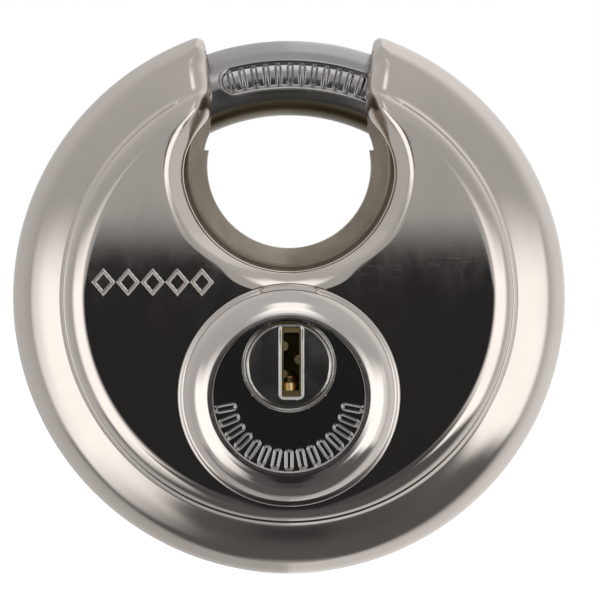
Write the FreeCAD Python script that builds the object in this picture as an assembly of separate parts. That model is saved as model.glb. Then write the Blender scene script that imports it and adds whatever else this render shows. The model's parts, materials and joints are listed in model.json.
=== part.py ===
"""Disc padlock: a round body of two pressed steel shells, a turning C-shaped shackle and a five-pin cylinder.

Frame, in mm: the disc's axis is Y through the origin, the keyed face looks to -Y, and the shackle's
opening is at the top, +Z. A clock angle is in degrees, clockwise from the top as seen from the front,
and a positive turn about +Y moves a piece clockwise. Heights are distances from the mid-plane y = 0.
"""

import FreeCAD
import Part
import math
import os

V = FreeCAD.Vector
FRONT, REAR = -1, 1
FIT = 0.02  # radial gap of a press or push fit
FREE = 0.05  # gap between neighbours of one body
DEEP, FAR = 20.0, 60.0  # beyond the lock's faces, and beyond its rim

# Shells
DISC_R = 35.0
SHELL_T = 1.5
FACE_H = 10.7  # raised flat faces
SEAM = 0.35  # chamfer that the welded seam fills at the rim
# Corners of half a shell's section as (radius, height, rounding): sloping ring, then the raised face
RIM = [(0, 0, 0), (DISC_R, 0, 0), (DISC_R, 6.0, 4.7)]
FACE_EDGE = [(27.08, FACE_H, 3.4), (0, FACE_H, 0)]
LEDGE = [(28.75, 8.9, 0.3), (28.4, 9.38, 0.15), (28.15, 9.42, 0)]  # small step where ring and face meet
SHELL_SECTION = RIM + LEDGE + FACE_EDGE
PLAIN_SECTION = RIM + [(28.45, 9.04, 0)] + FACE_EDGE  # the same without the step, for the shell's inside

# Window for the hasp, and the throat that the shackle crosses
WINDOW_Z = 16.7
WINDOW_R = 13.4
FUNNEL_R, FUNNEL_H, FUNNEL_ROUND = 15.55, 8.8, 1.2  # the face slopes down to the window's edge
FLANGE_T = 1.4
NECK_HALF, NECK_Z = 9.9, 26.0  # the throat is narrowest up to here, then flares
THROAT_FLARE = 0.155
SHOULDER_Z, SHOULDER_SLOPE, SHOULDER_ROUND = 23.0, 1.3, 1.8

# Liner: a guard round the window, narrowest at its throat
LINER_R, LINER_LIP_R, LINER_MOUTH_R = 10.4, 12.55, 12.9
LINER_H, LINER_THROAT_H = 5.95, 1.75
LINER_RECESS = 1.3  # the guard is lower outside its lip
LINER_ROUND = 1.5
REBATE, REBATE_Z = 0.6, 18.7

# Shackle
BAR_R = 4.75
BAR_PITCH_R = 27.9
BAR_GAP = 0.3
TOE, TAIL = -27.5, 197.0  # clock angles of the bar's two ends
TOE_ROUND = 1.2

# Gear pair that the key turns: a toothed sector on the shackle and a pinion on the plug
MODULE = 1.0
RING_TEETH, PINION_TEETH = 42, 25
PRESSURE = math.radians(20)
BACKLASH = 0.06  # taken off each flank at the pitch circle
ADDENDUM, RING_DEDENDUM, PINION_DEDENDUM = 0.85, 1.15, 1.2
FLANK_STEPS = 7
GEAR_Y = (3.9, 6.1)
SECTOR_R = 30.2
SECTOR_CLOCK = (114.5, 193.5)
SECTOR_RIVETS = (128.0, 154.0, 180.0)
RIVET_R, RIVET_Y = 1.0, 1.5
MESH_COUNT = range(-1, 8)  # teeth each side of bottom centre that meet as the key turns
PINION_HUB_R, PINION_MARGIN = 4.4, 6.0

RING_PITCH_R = MODULE * RING_TEETH / 2
PINION_PITCH_R = MODULE * PINION_TEETH / 2
RING_STEP, PINION_STEP = 360 / RING_TEETH, 360 / PINION_TEETH

# Cylinder
PLUG_Z = -(RING_PITCH_R - PINION_PITCH_R)
PLUG_R = 4.85
PLUG_GAP = 0.05
PLUG_Y = (-11.0, 3.7)
BOSS_Z = -12.3
HOUSING_R = 9.8
HOUSING_Y = (-11.0, 3.6)
PLATE_Y = (-12.5, -11.05)
PLATE_HOLE_R, PLATE_CHAMFER = 5.5, 0.4
PLUG_FACE_R = 5.35
PLUG_FACE_Y = (-12.35, -11.05)
SLOT_X, SLOT_HALF, SLOT_ROUND = 0.3, 1.25, 0.35
SLOT_Z = (-4.0, 4.8)  # the key slot, from the plug's axis
KEYWAY_HALF = 1.0
KEYWAY_Z = (-3.2, 4.1)
KEYWAY_END_Y = 2.9
WARDS = [(-1, 2.4, 0.62), (1, 0.7, 0.62), (-1, -1.1, 0.5)]  # side, height, radius
PIN_R = 1.1
PIN_GAP = 0.05
PIN_YS = [-9.2 + 2.75 * i for i in range(5)]
KEY_PIN_LENGTHS = [3.2, 4.0, 2.8, 3.6, 3.0]
PIN_TIP, PIN_TIP_R = 0.6, 0.55
PIN_BORE_TOP = -0.6  # end of the plug's pin bores, from the plug's axis
SHEAR_GAP = 0.07
DRIVER_LENGTH, DRIVER_WAIST_DEPTH, DRIVER_WAIST = 3.0, 0.2, (1.1, 1.9)
CHAMBER_FLOOR_Z = -21.0
CHAMBER_COVER_T, CHAMBER_COVER_HALF = 0.9, 1.45
SPRING_MEAN_R, SPRING_WIRE_R, SPRING_TURNS = 0.78, 0.16, 6
GUARD_R, GUARD_X, GUARD_Z, GUARD_END_Y = 0.7, 7.0, -10.0, -4.0

# Bezel round the cylinder
BEZEL_R = 14.0
BEZEL_LIP_R = 9.5
BEZEL_SEAT_H = 10.95  # thin rim round the dome's foot
BEZEL_DOME_R = 13.3
BEZEL_CREST_R, BEZEL_CREST_H = 10.3, 13.6
BEZEL_FLANGE_R = 15.4
BEZEL_FLANGE_Y = (-9.15, -8.0)
BOSS_HOLE_R = 14.1

# Inside
CORE_GAP = 0.1
CORE_R = 32.2
CORE_SPLIT = 0.02
DOWEL_R, DOWEL_X, DOWEL_HALF = 1.25, 18.5, 4.0
TRACK_R = 34.0  # outer radius of the sector's track in the rear core
POCKET_R, POCKET_TOP_Z, HUB_POCKET_R = 13.8, -4.0, 5.2
COVER_Y = (6.75, 7.3)
COVER_R, COVER_TOP_Z, COVER_BORE_R = 15.2, -0.4, 2.0
SCREW_X, SCREW_Z, SCREW_R, SCREW_START_Y = 12.4, -2.3, 0.9, 3.0
SCREW_SLOT_HALF, SCREW_SLOT_DEPTH = 0.15, 0.2
STOP_R, STOP_PITCH_R, STOP_START_Y, STOP_CLOCK = 1.2, 21.5, 1.0, (111.0, 247.0)
TAIL_SQUARE, TAIL_R, TAIL_END_Y = 3.6, 1.5, 7.0
CLIP_Y, CLIP_R, CLIP_BORE_R, CLIP_GAP_HALF = (6.2, 6.65), 3.0, 1.25, 1.0


# ---------------------------------------------------------------- helpers


def place(r, clock, y=0.0):
    """The point at that radius and clock angle about the disc's axis."""
    a = math.radians(clock)
    return V(r * math.sin(a), y, r * math.cos(a))


def cyl(r, y0, y1, x=0.0, z=0.0):
    return Part.makeCylinder(r, y1 - y0, V(x, y0, z), V(0, 1, 0))


def ring(r_in, r_out, y0, y1, x=0.0, z=0.0):
    return cyl(r_out, y0, y1, x, z).cut(cyl(r_in, y0, y1, x, z))


def upright(r, z0, z1, y):
    return Part.makeCylinder(r, z1 - z0, V(0, y, z0), V(0, 0, 1))


def box(x0, x1, y0, y1, z0, z1):
    return Part.makeBox(x1 - x0, y1 - y0, z1 - z0, V(x0, y0, z0))


def prism(points, y0, y1):
    """The outline through those (x, z) points, extruded along Y."""
    corners = [V(x, y0, z) for x, z in points]
    face = Part.Face(Part.makePolygon(corners + corners[:1]))
    return face.extrude(V(0, y1 - y0, 0))


def inset(corners, d):
    """The section moved inwards by d, apart from its sides on the axis and on the mid-plane."""
    lines, n = [], len(corners)
    for i in range(n):
        (r0, h0, _), (r1, h1, _) = corners[i], corners[(i + 1) % n]
        length = math.hypot(r1 - r0, h1 - h0)
        nr, nh = -(h1 - h0) / length, (r1 - r0) / length
        fixed = (r0 == 0 and r1 == 0) or (h0 == 0 and h1 == 0)
        lines.append((nr, nh, nr * r0 + nh * h0 + (0 if fixed else d)))
    moved = []
    for i in range(n):
        (a, b, c), (p, q, s) = lines[i - 1], lines[i]
        det = a * q - b * p
        rounding = max(corners[i][2] - d, 0) if det > 0 else corners[i][2] + d
        moved.append(((c * q - b * s) / det, (a * s - c * p) / det, rounding))
    return moved


def section_face(corners, side):
    """A closed section of straight sides and rounded corners, as a face in the plane z = 0."""
    points = [V(r, side * h, 0) for r, h, _ in corners]
    n, starts, ends, mids = len(points), [], [], []
    for i, p in enumerate(points):
        before = (points[i - 1] - p).normalize()
        after = (points[(i + 1) % n] - p).normalize()
        rounding = corners[i][2]
        if rounding == 0:
            starts.append(p)
            ends.append(p)
            mids.append(None)
            continue
        half = before.getAngle(after) / 2
        reach = rounding / math.tan(half)
        to_centre = (before + after).normalize()
        centre = p + to_centre * (rounding / math.sin(half))
        starts.append(p + before * reach)
        ends.append(p + after * reach)
        mids.append(centre - to_centre * rounding)
    edges = []
    for i in range(n):
        if mids[i] is not None:
            edges.append(Part.Arc(starts[i], mids[i], ends[i]).toShape())
        edges.append(Part.LineSegment(ends[i], starts[(i + 1) % n]).toShape())
    return Part.Face(Part.Wire(edges))


def turned(corners, side, z=0.0):
    """The section turned about the Y-wards axis at that height."""
    body = section_face(corners, side).revolve(V(0, 0, 0), V(0, 1, 0), 360)
    body.translate(V(0, 0, z))
    return body


def ring_sector(r0, r1, clock0, clock1, y0, y1):
    corners = [
        place(r0, clock0, y0),
        place(r1, clock0, y0),
        place(r1, clock0, y1),
        place(r0, clock0, y1),
    ]
    face = Part.Face(Part.makePolygon(corners + corners[:1]))
    return face.revolve(V(0, 0, 0), V(0, 1, 0), clock1 - clock0)


def channel(extra):
    """The tunnel that the shackle's bar turns in, wider than the bar by extra."""
    return Part.makeTorus(BAR_PITCH_R, BAR_R + extra, V(0, 0, 0), V(0, 1, 0))


def largest(shape):
    return max(shape.Solids, key=lambda s: s.Volume)


def save(name, shape):
    shape = shape.removeSplitter()
    solids = shape.Solids
    if not shape.isValid() or not solids:
        raise ValueError(name + " is not a valid solid")
    out = solids[0] if len(solids) == 1 else Part.makeCompound(solids)
    out.exportStep("parts/" + name + ".step")
    print(f"{name:22s} {len(solids)} solid(s) {shape.Volume:10.1f} mm3")


# ---------------------------------------------------------------- shells and liner


def window_circle(grow):
    return cyl(WINDOW_R + grow, -DEEP, DEEP, z=WINDOW_Z)


def throat(grow):
    neck = NECK_HALF + grow
    mouth = neck + (FAR - NECK_Z) * THROAT_FLARE
    right = [(neck, WINDOW_Z), (neck, NECK_Z), (mouth, FAR)]
    left = [(-x, z) for x, z in reversed(right)]
    return prism(right + left, -DEEP, DEEP)


def under_shoulders(grow):
    """Everything below the two slopes that fall from the throat's corners to the window's sides."""
    eaves = SHOULDER_Z + grow - (FAR - NECK_HALF) * SHOULDER_SLOPE
    ridge = SHOULDER_Z + grow + NECK_HALF * SHOULDER_SLOPE
    return prism([(0, ridge), (FAR, eaves), (FAR, -FAR), (-FAR, -FAR), (-FAR, eaves)], -DEEP, DEEP)


def opening():
    """The window with sloping shoulders, and the throat above it, as one prism along Y."""
    hole = window_circle(0).common(under_shoulders(0)).fuse(throat(0)).removeSplitter()
    shoulders = []
    for edge in hole.Edges:
        ends = [v.Point for v in edge.Vertexes]
        along_y = len(ends) == 2 and abs(ends[0].y - ends[1].y) > DEEP
        if along_y and math.hypot(abs(ends[0].x) - NECK_HALF, ends[0].z - SHOULDER_Z) < FREE:
            shoulders.append(edge)
    return hole.makeFillet(SHOULDER_ROUND, shoulders)


def shell_blank(side):
    """A shell before its boss hole: ring, raised face, funnel and the walls that turn inwards."""
    far_side = [(FUNNEL_R + DEEP, FACE_H, 0), (FUNNEL_R + DEEP, DEEP, 0), (0, DEEP, 0)]
    slope = [(0, FUNNEL_H, 0), (WINDOW_R, FUNNEL_H, 0), (FUNNEL_R, FACE_H, FUNNEL_ROUND)]
    funnel = turned(slope + far_side, side, z=WINDOW_Z)
    walls = window_circle(FLANGE_T).fuse(throat(FLANGE_T))
    hollow = turned(inset(PLAIN_SECTION, SHELL_T), side).cut(walls)
    seat_h = LINER_H - LINER_RECESS
    seat = cyl(WINDOW_R + FLANGE_T + FREE, -seat_h, seat_h, z=WINDOW_Z)
    seat = seat.common(cyl(BAR_PITCH_R - BAR_R - BAR_GAP, -DEEP, DEEP))
    shell = turned(SHELL_SECTION, side).cut(funnel)
    shell = shell.cut(opening()).cut(hollow).cut(seat).cut(channel(BAR_GAP))
    seam = [(DISC_R - SEAM, 0, 0), (DISC_R + SEAM, 0, 0), (DISC_R + SEAM, 2 * SEAM, 0)]
    return shell.cut(turned(seam, side))


def front_shell():
    return shell_blank(FRONT).cut(cyl(BOSS_HOLE_R, -DEEP, -CORE_GAP, z=BOSS_Z))


def window_liner():
    """C-shaped guard inside the window; its ends are rebated, and lie each side of the shackle."""
    outer = WINDOW_R + FLANGE_T
    half = [
        (LINER_R, 0, 0),
        (outer, 0, 0),
        (outer, LINER_H - LINER_RECESS, 0),
        (LINER_MOUTH_R, LINER_H - LINER_RECESS, 0),
        (LINER_MOUTH_R, LINER_H, 0),
        (LINER_LIP_R, LINER_H, 0.2),
        (LINER_R, LINER_THROAT_H, LINER_ROUND),
    ]
    whole = turned(half, FRONT, z=WINDOW_Z).fuse(turned(half, REAR, z=WINDOW_Z))
    liner = whole.common(cyl(BAR_PITCH_R - BAR_R - BAR_GAP - FREE, -DEEP, DEEP))
    horns = whole.common(window_circle(-FREE)).common(under_shoulders(-FREE))
    horns = horns.cut(throat(0)).cut(channel(BAR_GAP + FREE))
    rebate = cyl(LINER_R + REBATE, -DEEP, DEEP, z=WINDOW_Z)
    return liner.fuse(horns).cut(rebate.common(box(-FAR, FAR, -DEEP, DEEP, REBATE_Z, FAR)))


# ---------------------------------------------------------------- cores and what they hold


def core_blank(side):
    """Die-cast filling of one shell, with half the shackle's groove in it."""
    core = turned(inset(PLAIN_SECTION, SHELL_T + CORE_GAP), side)
    y0, y1 = sorted((side * CORE_SPLIT, side * DEEP))
    core = core.common(cyl(CORE_R, y0, y1))
    wall = FLANGE_T + CORE_GAP
    core = core.cut(window_circle(wall)).cut(throat(wall)).cut(channel(BAR_GAP + FREE))
    for x in (-DOWEL_X, DOWEL_X):
        core = core.cut(cyl(DOWEL_R + FIT, -DOWEL_HALF - FREE, DOWEL_HALF + FREE, x))
    return core.cut(cyl(HOUSING_R + CORE_GAP, -DEEP, GEAR_Y[0] - CORE_GAP, z=BOSS_Z))


def core_front():
    seat = cyl(BEZEL_FLANGE_R + CORE_GAP, -DEEP, BEZEL_FLANGE_Y[1] + FREE, z=BOSS_Z)
    return largest(core_blank(FRONT).cut(seat))


def core_rear():
    """The rear filling also holds the gears, in a pocket that is open to the rear."""
    core = core_blank(REAR)
    floor = GEAR_Y[0] - CORE_GAP
    pocket = cyl(POCKET_R, floor, DEEP, z=PLUG_Z)
    pocket = pocket.common(box(-FAR, FAR, floor, DEEP, -FAR, POCKET_TOP_Z))
    core = core.cut(pocket).cut(cyl(HUB_POCKET_R, floor, DEEP, z=PLUG_Z))
    inner = RING_PITCH_R - ADDENDUM - 5 * FREE
    core = core.cut(ring_sector(inner, TRACK_R, *STOP_CLOCK, floor, DEEP))
    core = core.cut(ring_sector(BAR_PITCH_R, TRACK_R, *STOP_CLOCK, 0, DEEP))
    core = core.cut(cover_outline(CORE_GAP, COVER_Y[0] - FREE, DEEP))
    for x in (-SCREW_X, SCREW_X):
        core = core.cut(cyl(SCREW_R + FIT, SCREW_START_Y - FREE, DEEP, x, SCREW_Z))
    for clock in STOP_CLOCK:
        p = place(STOP_PITCH_R, clock)
        core = core.cut(cyl(STOP_R + FIT, STOP_START_Y - FREE, DEEP, p.x, p.z))
    return largest(core)


def core_dowels():
    return Part.makeCompound([cyl(DOWEL_R, -DOWEL_HALF, DOWEL_HALF, x) for x in (-DOWEL_X, DOWEL_X)])


def cover_outline(extra, y0, y1):
    disc = cyl(COVER_R + extra, y0, y1, z=PLUG_Z)
    return disc.common(box(-FAR, FAR, y0, y1, -FAR, COVER_TOP_Z + extra))


def gear_cover():
    cover = cover_outline(0, *COVER_Y).cut(cyl(COVER_BORE_R, *COVER_Y, z=PLUG_Z))
    for x in (-SCREW_X, SCREW_X):
        cover = cover.cut(cyl(SCREW_R + FREE, *COVER_Y, x, SCREW_Z))
    return cover


def cover_screws():
    """Two headless screws, flush with the cover, each with a driver slot."""
    screws = []
    top = COVER_Y[1]
    z0, z1 = SCREW_Z - SCREW_SLOT_HALF, SCREW_Z + SCREW_SLOT_HALF
    for x in (-SCREW_X, SCREW_X):
        shank = cyl(SCREW_R, SCREW_START_Y, top, x, SCREW_Z)
        slot = box(x - SCREW_R, x + SCREW_R, top - SCREW_SLOT_DEPTH, top, z0, z1)
        screws.append(shank.cut(slot))
    return Part.makeCompound(screws)


def travel_stops():
    """Pins that the sector's two ends run against, open and shut."""
    stops = []
    for clock in STOP_CLOCK:
        p = place(STOP_PITCH_R, clock)
        stops.append(cyl(STOP_R, STOP_START_Y, GEAR_Y[1], p.x, p.z))
    return Part.makeCompound(stops)


# ---------------------------------------------------------------- cylinder


def cylinder_bezel():
    """Domed collar; its hidden flange is trapped behind the front shell."""
    collar = [
        (BEZEL_LIP_R, -BEZEL_FLANGE_Y[0], 0),
        (BEZEL_R, -BEZEL_FLANGE_Y[0], 0),
        (BEZEL_R, BEZEL_SEAT_H, 0.25),
        (BEZEL_DOME_R, BEZEL_SEAT_H + 0.1, 0),
        (BEZEL_DOME_R, BEZEL_CREST_H - 1.6, 0.5),
        (BEZEL_DOME_R - 1.3, BEZEL_CREST_H - 0.6, 4.5),
        (BEZEL_CREST_R, BEZEL_CREST_H, 1.5),
        (BEZEL_LIP_R + 0.1, BEZEL_CREST_H, 0),
        (BEZEL_LIP_R, BEZEL_CREST_H - 0.1, 0),
    ]
    flange = cyl(BEZEL_FLANGE_R, *BEZEL_FLANGE_Y, z=BOSS_Z)
    flange = flange.common(turned(inset(PLAIN_SECTION, SHELL_T + FREE), FRONT))
    body = turned(collar, FRONT, z=BOSS_Z).fuse(flange)
    body = body.cut(cyl(HOUSING_R + FREE, PLATE_Y[0] - FREE, 0, z=BOSS_Z))
    return body.cut(window_circle(FLANGE_T + CORE_GAP))


def face_plate():
    """Hardened plate over the housing, with an off-centre chamfered hole for the plug's face."""
    front = -PLATE_Y[0] + FREE
    hole = [(0, 0, 0), (PLATE_HOLE_R, 0, 0), (PLATE_HOLE_R, front - PLATE_CHAMFER, 0)]
    hole += [(PLATE_HOLE_R + PLATE_CHAMFER, front, 0), (0, front, 0)]
    return cyl(HOUSING_R, *PLATE_Y, z=BOSS_Z).cut(turned(hole, FRONT, z=PLUG_Z))


def cylinder_housing():
    """Brass body with the plug's bore and five pin chambers below it."""
    body = cyl(HOUSING_R, *HOUSING_Y, z=BOSS_Z)
    body = body.cut(cyl(PLUG_R + PLUG_GAP, *HOUSING_Y, z=PLUG_Z))
    for y in PIN_YS:
        body = body.cut(upright(PIN_R + PIN_GAP, CHAMBER_FLOOR_Z - FREE, PLUG_Z, y))
    half = CHAMBER_COVER_HALF + FREE
    y0, y1 = HOUSING_Y[0] + 3 * FREE, HOUSING_Y[1] - 3 * FREE
    body = body.cut(box(-half, half, y0, y1, -FAR, CHAMBER_FLOOR_Z))
    for x in (-GUARD_X, GUARD_X):
        body = body.cut(cyl(GUARD_R + FIT, HOUSING_Y[0], GUARD_END_Y + FREE, x, GUARD_Z))
    return body


def chamber_cover():
    y0, y1 = HOUSING_Y[0] + 4 * FREE, HOUSING_Y[1] - 4 * FREE
    top = CHAMBER_FLOOR_Z - FIT
    half = CHAMBER_COVER_HALF
    return box(-half, half, y0, y1, top - CHAMBER_COVER_T, top)


def drill_guards():
    y0 = HOUSING_Y[0] + FIT
    return Part.makeCompound([cyl(GUARD_R, y0, GUARD_END_Y, x, GUARD_Z) for x in (-GUARD_X, GUARD_X)])


def key_plug():
    """Brass plug with a warded keyway, pin bores from below and a square tail for the pinion."""
    z = PLUG_Z
    x0, x1 = SLOT_X - KEYWAY_HALF, SLOT_X + KEYWAY_HALF
    keyway = box(x0, x1, PLUG_Y[0], KEYWAY_END_Y, z + KEYWAY_Z[0], z + KEYWAY_Z[1])
    for side, height, radius in WARDS:
        ward_x = SLOT_X + side * KEYWAY_HALF
        keyway = keyway.cut(cyl(radius, PLUG_Y[0], KEYWAY_END_Y, ward_x, z + height))
    plug = cyl(PLUG_R, *PLUG_Y, z=z).cut(keyway)
    for y in PIN_YS:
        plug = plug.cut(upright(PIN_R + PIN_GAP, z - PLUG_R - 1, z + PIN_BORE_TOP, y))
    s = TAIL_SQUARE / 2
    plug = plug.fuse(box(-s, s, PLUG_Y[1] - 0.5, GEAR_Y[1] + FREE, z - s, z + s))
    plug = plug.fuse(cyl(TAIL_R, GEAR_Y[1], TAIL_END_Y, z=z))
    groove = ring(CLIP_BORE_R - FREE, PLUG_R, CLIP_Y[0] - FIT, CLIP_Y[1] + FIT, z=z)
    return plug.cut(groove)


def plug_face():
    """Hardened disc over the plug's front, with the key slot."""
    z0, z1 = PLUG_Z + SLOT_Z[0], PLUG_Z + SLOT_Z[1]
    slot = box(SLOT_X - SLOT_HALF, SLOT_X + SLOT_HALF, -DEEP, 0, z0, z1)
    corners = [e for e in slot.Edges if abs(e.tangentAt(e.FirstParameter).y) > 0.9]
    face = cyl(PLUG_FACE_R, *PLUG_FACE_Y, z=PLUG_Z)
    return face.cut(slot.makeFillet(SLOT_ROUND, corners))


def key_pin(y, length):
    """A pin on the plug's side of the shear line; its foot follows the plug's round."""
    z0 = PLUG_Z - PLUG_R
    z1 = z0 + length - PIN_TIP
    tip = Part.makeCone(PIN_R, PIN_TIP_R, PIN_TIP, V(0, y, z1))
    pin = upright(PIN_R, z0, z1, y).fuse(tip)
    return pin.common(cyl(PLUG_R - FIT, *PLUG_Y, z=PLUG_Z))


def driver_pin(y):
    """A waisted pin on the housing's side of the shear line."""
    top = PLUG_Z - PLUG_R - SHEAR_GAP
    low, high = DRIVER_WAIST
    waist = upright(2 * PIN_R, top - high, top - low, y)
    waist = waist.cut(upright(PIN_R - DRIVER_WAIST_DEPTH, top - high, top - low, y))
    return upright(PIN_R, top - DRIVER_LENGTH, top, y).cut(waist)


def pin_spring(y):
    """Coil spring between a driver pin and the chamber's floor."""
    z0 = CHAMBER_FLOOR_Z + SPRING_WIRE_R + FIT
    z1 = PLUG_Z - PLUG_R - SHEAR_GAP - DRIVER_LENGTH - SPRING_WIRE_R - FREE
    helix = Part.makeHelix((z1 - z0) / SPRING_TURNS, z1 - z0, SPRING_MEAN_R)
    circle = Part.Circle(V(SPRING_MEAN_R, 0, 0), V(0, 1, 0), SPRING_WIRE_R)
    coil = Part.Wire(helix).makePipeShell([Part.Wire(circle.toShape())], True, True)
    coil.translate(V(0, y, z0))
    return coil


# ---------------------------------------------------------------- gears and shackle


def tooth_outline(teeth, half_pitch, r_from, r_to, at, clock, y):
    """Outline of an involute tooth, or of an internal gear's tooth space, whose middle is at clock."""
    base_r = MODULE * teeth / 2 * math.cos(PRESSURE)
    at_pitch = math.tan(PRESSURE) - PRESSURE
    flank = []
    for i in range(FLANK_STEPS + 1):
        r = r_from + (r_to - r_from) * i / FLANK_STEPS
        lean = math.acos(min(1.0, base_r / r))
        flank.append((r, half_pitch + math.degrees(at_pitch - (math.tan(lean) - lean))))
    points = [place(r, clock - a, y) for r, a in flank]
    points += [place(r, clock + a, y) for r, a in reversed(flank)]
    points = [p + at for p in points]
    return Part.Face(Part.makePolygon(points + points[:1]))


def drive_pinion():
    """Part pinion on the plug's tail, with the teeth that mesh over the key's turn and no more."""
    y0, y1 = GEAR_Y
    axis = V(0, 0, PLUG_Z)
    root = PINION_PITCH_R - PINION_DEDENDUM
    half = PINION_STEP / 4 - math.degrees(BACKLASH / PINION_PITCH_R)
    first = 180 - MESH_COUNT[-1] * PINION_STEP - PINION_MARGIN
    last = 180 - MESH_COUNT[0] * PINION_STEP + PINION_MARGIN
    fan = ring_sector(FREE, root, first, last, y0, y1)
    fan.translate(axis)
    gear = fan.fuse(cyl(PINION_HUB_R, y0, y1, z=PLUG_Z))
    for k in MESH_COUNT:
        clock = 180 - k * PINION_STEP
        face = tooth_outline(PINION_TEETH, half, root - 0.4, PINION_PITCH_R + ADDENDUM, axis, clock, y0)
        gear = gear.fuse(face.extrude(V(0, y1 - y0, 0)))
    s = TAIL_SQUARE / 2 + FIT
    return gear.cut(box(-s, s, y0, y1, PLUG_Z - s, PLUG_Z + s))


def pinion_clip():
    clip = ring(CLIP_BORE_R, CLIP_R, *CLIP_Y, z=PLUG_Z)
    return clip.cut(box(-CLIP_GAP_HALF, CLIP_GAP_HALF, *CLIP_Y, PLUG_Z, PLUG_Z + CLIP_R))


def rivets(radius, y0, y1):
    centres = [place(BAR_PITCH_R, clock) for clock in SECTOR_RIVETS]
    return Part.makeCompound([cyl(radius, y0, y1, p.x, p.z) for p in centres])


def rivet_holes():
    return rivets(RIVET_R + FIT, RIVET_Y - FIT, DEEP)


def sector_rivets():
    return rivets(RIVET_R, RIVET_Y, GEAR_Y[1])


def shackle_sector():
    """Plate with internal teeth, riveted to the rear of the shackle's bar."""
    y0, y1 = GEAR_Y
    plate = ring_sector(RING_PITCH_R - ADDENDUM, SECTOR_R, *SECTOR_CLOCK, y0, y1)
    half = RING_STEP / 4 + math.degrees(BACKLASH / RING_PITCH_R)
    inner, outer = RING_PITCH_R - PINION_DEDENDUM, RING_PITCH_R + RING_DEDENDUM
    for k in MESH_COUNT:
        clock = 180 - k * RING_STEP
        face = tooth_outline(RING_TEETH, half, inner, outer, V(0, 0, 0), clock, y0)
        plate = plate.cut(face.extrude(V(0, y1 - y0, 0)))
    return plate.cut(rivet_holes())


def shackle_bar():
    """Round bar bent to a C, with a flat for the sector on its rear near the tail."""
    toe = math.radians(TOE)
    along = V(math.cos(toe), 0, -math.sin(toe))
    section = Part.Face(Part.Wire(Part.Circle(place(BAR_PITCH_R, TOE), along, BAR_R).toShape()))
    bar = section.revolve(V(0, 0, 0), V(0, 1, 0), TAIL - TOE)
    ends = [e for e in bar.Edges if e.Closed and e.Length < 2 * math.pi * BAR_R + FREE]
    bar = bar.makeFillet(TOE_ROUND, ends)
    flat_start, flat_end = SECTOR_CLOCK[0] - 1, TAIL + 8
    flat = ring_sector(BAR_PITCH_R - 8, DISC_R, flat_start, flat_end, GEAR_Y[0] - FIT, DEEP)
    return bar.cut(flat).cut(rivet_holes())


# ---------------------------------------------------------------- write


def main():
    os.makedirs("parts", exist_ok=True)
    pieces = {
        "front_shell": front_shell(),
        "rear_shell": shell_blank(REAR),
        "window_liner": window_liner(),
        "core_front": core_front(),
        "core_rear": core_rear(),
        "core_dowels": core_dowels(),
        "gear_cover": gear_cover(),
        "cover_screws": cover_screws(),
        "travel_stops": travel_stops(),
        "cylinder_bezel": cylinder_bezel(),
        "face_plate": face_plate(),
        "cylinder_housing": cylinder_housing(),
        "chamber_cover": chamber_cover(),
        "drill_guards": drill_guards(),
        "key_plug": key_plug(),
        "plug_face": plug_face(),
        "drive_pinion": drive_pinion(),
        "pinion_clip": pinion_clip(),
        "shackle_bar": shackle_bar(),
        "shackle_sector": shackle_sector(),
        "sector_rivets": sector_rivets(),
    }
    for i, (y, length) in enumerate(zip(PIN_YS, KEY_PIN_LENGTHS), start=1):
        pieces[f"key_pin_{i}"] = key_pin(y, length)
        pieces[f"driver_pin_{i}"] = driver_pin(y)
        pieces[f"pin_spring_{i}"] = pin_spring(y)
    for name, shape in pieces.items():
        save(name, shape)


main()
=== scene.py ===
"""Disc padlock: the looks. Shapes are worked out in millimetres, in the frame's axes, and built in metres.

Heights are distances from the disc's mid-plane, towards the front or the rear. A clock angle runs
clockwise from the top as seen from the front.
"""

import json
import math

import bpy
import numpy as np
from mathutils.geometry import delaunay_2d_cdt
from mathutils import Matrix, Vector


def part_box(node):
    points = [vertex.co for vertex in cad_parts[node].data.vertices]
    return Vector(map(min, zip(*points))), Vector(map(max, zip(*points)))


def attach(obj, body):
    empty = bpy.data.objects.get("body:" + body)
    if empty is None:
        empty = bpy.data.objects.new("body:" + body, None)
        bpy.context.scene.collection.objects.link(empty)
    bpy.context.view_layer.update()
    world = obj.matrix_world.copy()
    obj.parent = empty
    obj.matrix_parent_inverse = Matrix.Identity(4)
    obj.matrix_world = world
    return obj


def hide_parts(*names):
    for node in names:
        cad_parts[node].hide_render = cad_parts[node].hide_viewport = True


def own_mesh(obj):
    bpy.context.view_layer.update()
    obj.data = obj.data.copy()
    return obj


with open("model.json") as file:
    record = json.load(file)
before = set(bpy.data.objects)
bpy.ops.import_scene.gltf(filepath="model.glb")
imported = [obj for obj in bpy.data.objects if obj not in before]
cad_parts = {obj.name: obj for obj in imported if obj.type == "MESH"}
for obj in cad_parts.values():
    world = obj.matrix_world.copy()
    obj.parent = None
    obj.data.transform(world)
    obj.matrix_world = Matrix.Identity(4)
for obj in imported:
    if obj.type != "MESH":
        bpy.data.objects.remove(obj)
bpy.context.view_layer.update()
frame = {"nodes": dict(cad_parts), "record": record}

MM = 0.001
BUMP_HEIGHT = 0.00001  # grain and scratches, in metres


def box_mm(node):
    low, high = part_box(node)
    return np.array(low) / MM, np.array(high) / MM


FRONT, REAR = -1, 1

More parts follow.
